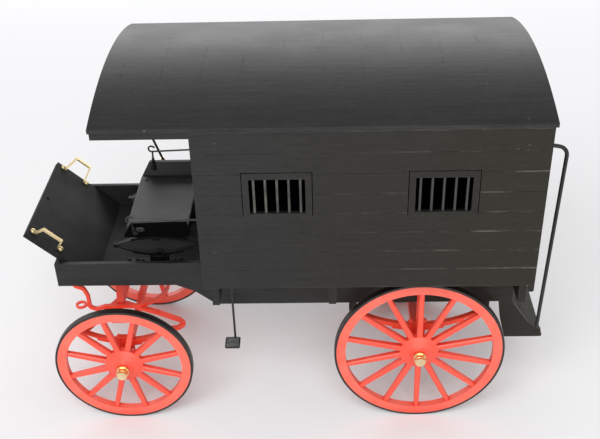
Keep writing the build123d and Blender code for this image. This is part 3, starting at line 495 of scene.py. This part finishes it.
def finish_piece(name, bm, slot, body, mat=None):
    """Make the piece an object of its slot that rides on body; mat is its own look, if any."""
    bmesh.ops.remove_doubles(bm, verts=bm.verts, dist=1e-7)
    bmesh.ops.recalc_face_normals(bm, faces=bm.faces)
    mesh = bpy.data.meshes.new(name)
    bm.to_mesh(mesh)
    bm.free()
    mesh.shade_smooth()
    mesh.set_sharp_from_angle(angle=SHARP_ANGLE)
    mesh.materials.append(mat or MATERIALS[slot])
    obj = bpy.data.objects.new(name, mesh)
    bpy.context.scene.collection.objects.link(obj)
    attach(obj, body)


def skin(bm, rings):
    """Skin a row of rings of points, and close both ends with a flat face."""
    rows = [[bm.verts.new(p) for p in ring] for ring in rings]
    count = len(rows[0])
    for a, b in zip(rows, rows[1:]):
        for k in range(count):
            m = (k + 1) % count
            bm.faces.new((a[k], a[m], b[m], b[k]))
    bm.faces.new(rows[0][::-1])
    bm.faces.new(rows[-1])


def frame_of(axis):
    """Three axes at right angles, the last along axis."""
    z = Vector(axis).normalized()
    side = Vector(X) if abs(z.x) < 0.9 else Vector(Y)
    x = (side - z * side.dot(z)).normalized()
    return x, z.cross(x), z


def turn(bm, at, axis, profile, sides=16, phase=0.0):
    """A turned form: the profile lists radius and height along the axis."""
    x, y, z = frame_of(axis)
    rings = []
    for radius, height in profile:
        ring = []
        for k in range(sides):
            a = 2.0 * math.pi * k / sides + phase
            out = (x * math.cos(a) + y * math.sin(a)) * (radius * MM)
            ring.append(at + out + z * (height * MM))
        rings.append(ring)
    skin(bm, rings)


def dome(bm, at, axis, radius, height):
    """A round head with a short straight rim, let in a little."""
    turn(bm, at, axis, [(radius, -0.15), (radius, height * 0.35), (radius * 0.92, height * 0.62),
                        (radius * 0.70, height * 0.86), (radius * 0.38, height * 0.97),
                        (0.04, height)])


def hexagon(bm, at, axis, flats, height, stud=0.0):
    """A six-sided nut with cut corners, and the end of its stud when that shows."""
    corner = flats / math.sqrt(3.0)
    turn(bm, at, axis, [(corner, -0.1), (corner, height * 0.8), (corner * 0.88, height)], 6)
    if stud:
        turn(bm, at, axis, [(flats * 0.29, height - 0.1), (flats * 0.29, height + stud * 0.8),
                            (flats * 0.2, height + stud)], 12)


def tube(bm, path, radius, sides=8):
    """A round bar along a path of places, with its ends slightly domed."""
    rings = []
    up = None
    last = len(path) - 1
    for k, at in enumerate(path):
        run = (path[min(k + 1, last)] - path[max(k - 1, 0)]).normalized()
        if up is None:
            up = frame_of(run)[0]
        up = (up - run * up.dot(run)).normalized()
        out = run.cross(up)
        # size of each ring here, and how far it is pushed along the bar
        steps = [(1.0, 0.0)]
        if k == 0:
            steps.insert(0, (0.55, -0.45))
        if k == last:
            steps.append((0.55, 0.45))
        for scale, push in steps:
            ring = []
            for m in range(sides):
                a = 2.0 * math.pi * m / sides
                rim = (up * math.cos(a) + out * math.sin(a)) * (radius * scale * MM)
                ring.append(at + run * (push * radius * MM) + rim)
            rings.append(ring)
    skin(bm, rings)


def stadium(half_length, half_width, steps=8):
    """Outline of a plate with round ends."""
    run = half_length - half_width
    points = []
    for end, start in ((1, -90), (-1, 90)):
        for k in range(steps + 1):
            a = math.radians(start + 180.0 * k / steps)
            points.append((end * run + half_width * math.cos(a), half_width * math.sin(a)))
    return points


def plate(bm, at, x_axis, y_axis, half_length, half_width, thick, round_off=0.25):
    """A plate with round ends and rounded arrises, along x_axis; its foot's middle is at."""
    x = Vector(x_axis)
    y = Vector(y_axis)
    z = x.cross(y)
    rings = []
    for inset, height in ((round_off, 0.0), (0.0, round_off),
                          (0.0, thick - round_off), (round_off, thick)):
        ring = []
        for u, v in stadium(half_length, half_width):
            scale = 1.0 - inset / math.hypot(u, v)
            ring.append(at + (x * (u * scale) + y * (v * scale) + z * height) * MM)
        rings.append(ring)
    skin(bm, rings)


# round heads: radius and height
SEAT_BOLT = (1.0, 0.55)
SCROLL_EYE = (1.1, 1.0)
LARGE_KNOB = (1.2, 1.1)
SMALL_KNOB = (0.9, 0.8)
HANDLE_PAD = (1.75, 1.5)
DASH_SCREW = (1.15, 0.7)
GEAR_RIVET = (0.95, 0.7)
DOOR_RIVET = (0.8, 0.5)
LEAF_SCREW = (0.75, 0.4)
# nuts: width across the flats and height, and the stud that stands out of the clamps' nuts
CLAMP_NUT = (2.1, 1.0)
PIN_HEAD = (2.2, 0.8)
STUD = 0.7
# plates: half length, half width and thickness
SPRING_PLATE = (19.0, 3.1, 2.2)
SCROLL_PLATE = (4.0, 1.7, 0.9)
PANEL_PLATE = (3.2, 1.7, 0.8)
CLAMP_PLATE = (6.2, 1.9, 0.9)
# round bars: radius
SCROLL_BAR = 0.62
CLAMP_BOLT = 0.42

# seat: bolts through the board
SEAT_TOP = 130.0
SEAT_BOLTS_X = (-175.6, -146.7)
SEAT_BOLTS_Y = 25.2

bm = bmesh.new()
for x in SEAT_BOLTS_X:
    for side in SIDES:
        dome(bm, spot(x, side * SEAT_BOLTS_Y, SEAT_TOP), Z, *SEAT_BOLT)
finish_piece("seat_bolts", bm, "black_iron", "body")

# seat: a plate with five heads under each of its springs
SPRING_MIDDLE = (-165.0, 26.2)
PLATE_FOOT = 99.2
PLATE_ARRIS = 0.5
PLATE_HEAD_RADIUS = 1.3
# x from the middle, and height of each head
PLATE_HEADS = ((-16.6, 1.5), (-11.4, 1.9), (-8.2, 1.3), (12.0, 1.3), (16.0, 2.0))

bm = bmesh.new()
for side in SIDES:
    x, y = SPRING_MIDDLE[0], side * SPRING_MIDDLE[1]
    plate(bm, spot(x, y, PLATE_FOOT), X, Y, *SPRING_PLATE, PLATE_ARRIS)
    for run, rise in PLATE_HEADS:
        dome(bm, spot(x + run, y, PLATE_FOOT + SPRING_PLATE[2]), Z, PLATE_HEAD_RADIUS, rise)
finish_piece("seat_spring_plates", bm, "black_iron", "body", SHADED_IRON)

# seat: turned feet round both posts of its irons
# x, y and z of the foot, y and z of the rail
SEAT_POSTS = ((-173.0, -35.02, 128.7, -43.4, 141.7), (-171.2, 33.25, 133.1, 35.4, 145.5))
POST_PROFILE = [
    (1.5, -0.2), (1.9, 0.3), (1.9, 0.9), (1.25, 1.4), (1.25, 1.7), (1.75, 2.1), (1.75, 2.9),
    (1.1, 3.5), (0.95, 5.0), (1.3, 5.6), (1.3, 6.2), (0.8, 6.9), (0.7, 8.4),
]

bm = bmesh.new()
for x, foot_y, foot_z, rail_y, rail_z in SEAT_POSTS:
    turn(bm, spot(x, foot_y, foot_z), (0.0, rail_y - foot_y, rail_z - foot_z), POST_PROFILE)
finish_piece("seat_post_turnings", bm, "black_iron", "body", SHADED_IRON)

# a scroll bracket on the near face of the right-hand sill, ahead of the seat:
# its foot, its stem, and a scroll that tightens by SCROLL_PITCH with each step round its eye
SCROLL_FOOT = (-186.0, 44.5, 104.0)
SCROLL_STEM = ((-186.0, 44.6, 99.6), (-186.4, 43.6, 101.2))
SCROLL_X, SCROLL_Y, SCROLL_Z = -188.5, 42.4, 105.8
SCROLL_RADIUS = 3.4
SCROLL_PITCH = 0.105
SCROLL_STEPS = 22
SCROLL_START, SCROLL_STEP = -60, 21
EYE_BEHIND = 0.4

bm = bmesh.new()
scroll = [spot(*place) for place in SCROLL_STEM]
for k in range(SCROLL_STEPS):
    a = math.radians(SCROLL_START + SCROLL_STEP * k)
    size = SCROLL_RADIUS - SCROLL_PITCH * k
    scroll.append(spot(SCROLL_X + size * math.cos(a), SCROLL_Y, SCROLL_Z + size * math.sin(a)))
tube(bm, scroll, SCROLL_BAR)
dome(bm, spot(SCROLL_X, SCROLL_Y - EYE_BEHIND, SCROLL_Z), (0, -1, 0), *SCROLL_EYE)
plate(bm, spot(*SCROLL_FOOT), Z, X, *SCROLL_PLATE)
finish_piece("sill_scroll", bm, "black_iron", "body", FITTINGS_HIGHLIT)

# a bracket with two round knobs on the outer face of each of the seat's panels
# y and z of the face's foot, and how far it leans out as it rises
PANEL_FOOT = (33.2, 124.0)
PANEL_OUT, PANEL_RISE = 4.1, 13.9
PANEL_LEAN = math.atan2(PANEL_OUT, PANEL_RISE)
BRACKET_X, BRACKET_Z = -170.0, 131.6
KNOB_RUN = 1.6
KNOB_FOOT = 0.7

bm = bmesh.new()
for side in SIDES:
    out = Vector((0.0, side * math.cos(PANEL_LEAN), -math.sin(PANEL_LEAN)))
    up = Vector((0.0, side * math.sin(PANEL_LEAN), math.cos(PANEL_LEAN)))
    y = PANEL_FOOT[0] + (BRACKET_Z - PANEL_FOOT[1]) * PANEL_OUT / PANEL_RISE
    place = spot(BRACKET_X, side * y, BRACKET_Z)
    along = up.cross(out)
    plate(bm, place, along, up, *PANEL_PLATE)
    for run, knob in ((KNOB_RUN, LARGE_KNOB), (-KNOB_RUN, SMALL_KNOB)):
        dome(bm, place + (out * KNOB_FOOT + along * run) * MM, out, *knob)
finish_piece("seat_side_brackets", bm, "black_iron", "body", FITTINGS_HIGHLIT)

# dash: x and z of its upper and lower edge, its direction down and its outer face's direction
DASH_TOP = (-237.4, 134.4)
DASH_FOOT = (-198.7, 98.6)
DASH_SLOPE = math.atan2(DASH_TOP[1] - DASH_FOOT[1], DASH_FOOT[0] - DASH_TOP[0])
DASH_DOWN = Vector((math.cos(DASH_SLOPE), 0.0, -math.sin(DASH_SLOPE)))
DASH_OUT = Vector((math.sin(DASH_SLOPE), 0.0, math.cos(DASH_SLOPE)))


def on_dash(run, y, off=0.0):
    """A place run below the dash's upper edge, and off its face by off."""
    return spot(DASH_TOP[0], y, DASH_TOP[1]) + (DASH_DOWN * run + DASH_OUT * off) * MM


# dash: round brass pads on the feet of both handles
# side, y of the feet, run to the upper and to the lower foot
HANDLES = ((-1, 37.3, 5.3, 21.5), (1, 40.4, 6.6, 21.6))
PAD_OUTSET = 1.9
PAD_OFF = 0.2

bm = bmesh.new()
for side, y, high, low in HANDLES:
    for run in (high - PAD_OUTSET, low + PAD_OUTSET):
        dome(bm, on_dash(run, side * y, PAD_OFF), DASH_OUT, *HANDLE_PAD)
finish_piece("handle_pads", bm, "brass", "body", CAST_BRASS)

# dash: one screw near the middle of its upper edge
SCREW_RUN, SCREW_Y = 3.8, 1.1

bm = bmesh.new()
dome(bm, on_dash(SCREW_RUN, SCREW_Y), DASH_OUT, *DASH_SCREW)
finish_piece("dash_screw", bm, "black_iron", "body", SHADED_IRON)

# springs: a clamp plate, two bent bolts and two nuts where each meets its axle,
# and a pin head on both faces of every eye
# half the distance between the legs of a bolt, and between the two bolts
LEG_HALF = 4.4
BOLT_HALF = 0.9
# how far a bolt ends over the clip, the run of its bent corners and their rise over the
# underside of the axle, and how far it lies under the axle
BOLT_OVER = 1.0
BEND_RUN, BEND_RISE = 0.9, 1.2
BOLT_UNDER = 0.35
EYE_FACE = 1.7
# name, body, x and y of the middle, top of the clip, underside of the axle,
# half the distance between the eyes, z of the eyes
GEARS = [
    ("rear", "body", 0.0, 44.9, 65.1, 49.8, 41.0, 75.65),
    ("front", "turntable", FRONT_AXLE, 46.0, 55.3, 40.6, 26.0, 60.35),
]
for tag, body, mid_x, mid_y, top, under, eye, eye_z in GEARS:
    bm = bmesh.new()
    # x and z of each bolt: down one leg, across under the axle and up the other
    bow = [(-LEG_HALF, top + BOLT_OVER), (-LEG_HALF, under + BEND_RISE),
           (BEND_RUN - LEG_HALF, under - BOLT_UNDER)]
    bow += [(-x, z) for x, z in reversed(bow)]
    for side in SIDES:
        y = side * mid_y
        plate(bm, spot(mid_x, y, top), X, Y, *CLAMP_PLATE)
        for dy in (-BOLT_HALF, BOLT_HALF):
            tube(bm, [spot(mid_x + x, y + dy, z) for x, z in bow], CLAMP_BOLT)
        for x in (-LEG_HALF, LEG_HALF):
            hexagon(bm, spot(mid_x + x, y, top + CLAMP_PLATE[2]), Z, *CLAMP_NUT, STUD)
        for x in (-eye, eye):
            for face in SIDES:
                place = spot(mid_x + x, y + face * EYE_FACE, eye_z)
                hexagon(bm, place, (0, face, 0), *PIN_HEAD)
    finish_piece(tag + "_spring_clamps", bm, "red_gear", body)

# front gear: round heads on its platform and hounds
RIVET_Z = 60.3
RIVETS = ((-195.0, 33.0), (-186.6, 33.0), (-208.5, 35.4), (-150.0, 38.0), (-168.0, 25.4))

bm = bmesh.new()
for side in SIDES:
    for x, y in RIVETS:
        dome(bm, spot(x, side * y, RIVET_Z), Z, *GEAR_RIVET)
finish_piece("gear_rivets", bm, "red_gear", "turntable")

# side steps: rows of small pyramids over the tread of each pad
PAD_MIDDLE = (-116.0, 61.0, 63.4)
PAD_HALF = (4.1, 4.3)
KNURL = 0.95
KNURL_PROFILE = [(0.60, -0.12), (0.60, 0.02), (0.12, 0.42)]

bm = bmesh.new()
rows = [int(2 * half / KNURL) for half in PAD_HALF]
for side in SIDES:
    for i in range(rows[0]):
        for j in range(rows[1]):
            x = PAD_MIDDLE[0] + (i - (rows[0] - 1) / 2) * KNURL
            y = side * (PAD_MIDDLE[1] + (j - (rows[1] - 1) / 2) * KNURL)
            turn(bm, spot(x, y, PAD_MIDDLE[2]), Z, KNURL_PROFILE, 4, math.pi / 4)
finish_piece("step_pad_knurls", bm, "black_iron", "body", FITTINGS_HIGHLIT)

# rear door: rivets through its two straps, and screws in the leaves on the wall
STRAP_FACE = 63.6
HINGE_HEIGHTS = (133.0, 193.0)
STRAP_RIVETS_Y = (4.0, 10.5, 17.0, 23.0)
# y, and z from the hinge's middle
LEAF_SCREWS = ((30.9, -2.7), (30.9, 2.7), (33.0, 0.0))

bm = bmesh.new()
for z in HINGE_HEIGHTS:
    for y in STRAP_RIVETS_Y:
        dome(bm, spot(STRAP_FACE, y, z), X, *DOOR_RIVET)
finish_piece("door_rivets", bm, "black_iron", "door")

bm = bmesh.new()
for z in HINGE_HEIGHTS:
    for y, dz in LEAF_SCREWS:
        dome(bm, spot(STRAP_FACE, y, z + dz), X, *LEAF_SCREW)
finish_piece("hinge_screws", bm, "black_iron", "body")

# the set: one seamless pale sheet under the wagon, in metres
scene = bpy.context.scene
FLOOR_HALF = 4


def paper_floor():
    mesh = bpy.data.meshes.new("floor")
    bm = bmesh.new()
    corners = ((-1, -1), (1, -1), (1, 1), (-1, 1))
    bm.faces.new([bm.verts.new((x * FLOOR_HALF, y * FLOOR_HALF, 0.0)) for x, y in corners])
    bm.to_mesh(mesh)
    bm.free()
    floor = bpy.data.objects.new("floor", mesh)
    scene.collection.objects.link(floor)
    mat, shader, _, _ = material("paper")
    shader.inputs["Base Color"].default_value = FLOOR
    shader.inputs["Roughness"].default_value = 0.9
    shader.inputs["Specular IOR Level"].default_value = 0.1
    mesh.materials.append(mat)


paper_floor()

# camera at the photograph's angle: its place in the row frame in metres, its angles in radians,
# and its focal length in pixels of an image PHOTO_WIDTH wide
CAM_AT = (0.023439, -0.511653, 0.452289)
CAM_YAW = -0.03318
CAM_PITCH = 0.58436
CAM_ROLL = 0.03027
CAM_FOCAL = 951.84
PHOTO_WIDTH = 600.0
SENSOR_WIDTH = 36.0


def camera():
    forward = Vector((math.sin(CAM_YAW) * math.cos(CAM_PITCH),
                      math.cos(CAM_YAW) * math.cos(CAM_PITCH),
                      -math.sin(CAM_PITCH)))
    level = Vector((math.cos(CAM_YAW), -math.sin(CAM_YAW), 0.0))
    drop = forward.cross(level)
    right = level * math.cos(CAM_ROLL) + drop * math.sin(CAM_ROLL)
    down = drop * math.cos(CAM_ROLL) - level * math.sin(CAM_ROLL)
    data = bpy.data.cameras.new("camera")
    data.sensor_width = SENSOR_WIDTH
    data.lens = CAM_FOCAL * SENSOR_WIDTH / PHOTO_WIDTH
    data.clip_start = 0.01
    obj = bpy.data.objects.new("camera", data)
    facing = Matrix((right, -down, -forward)).transposed()
    obj.matrix_world = Matrix.Translation(CAM_AT) @ facing.to_4x4()
    scene.collection.objects.link(obj)
    scene.camera = obj


camera()


def softbox(name, at, aim, size, power):
    data = bpy.data.lights.new(name, "AREA")
    data.shape = "RECTANGLE"
    data.size, data.size_y = size
    data.energy = power
    obj = bpy.data.objects.new(name, data)
    obj.location = at
    obj.rotation_euler = (Vector(aim) - Vector(at)).to_track_quat("-Z", "Y").to_euler()
    scene.collection.objects.link(obj)


# softboxes: name, place, aim, size, power
LIGHTS = [
    ("back", (0.0, 1.5, 0.62), (0.0, 0.0, 0.15), (2.6, 0.6), 17.0),
    ("key", (-0.25, -1.15, 1.45), (0.0, 0.0, 0.1), (1.5, 0.9), 23.0),
    ("front_fill", (0.25, -1.9, 0.55), (0.0, 0.0, 0.08), (1.6, 0.7), 12.0),
]
for light in LIGHTS:
    softbox(*light)

# the world's strength: white where the camera sees it, and softer as a light
SKY_SEEN = 1.0
SKY_LIGHT = 0.53

world = bpy.data.worlds.new("world")
world.use_nodes = True
scene.world = world
nodes, links = world.node_tree.nodes, world.node_tree.links
back = nodes["Background"]
back.inputs["Color"].default_value = SKY
seen = nodes.new("ShaderNodeLightPath")
strength = nodes.new("ShaderNodeMath")
strength.operation = "MULTIPLY_ADD"
strength.inputs[1].default_value = SKY_SEEN - SKY_LIGHT
strength.inputs[2].default_value = SKY_LIGHT
links.new(seen.outputs["Is Camera Ray"], strength.inputs[0])
links.new(strength.outputs[0], back.inputs["Strength"])
scene.view_settings.view_transform = "Standard"
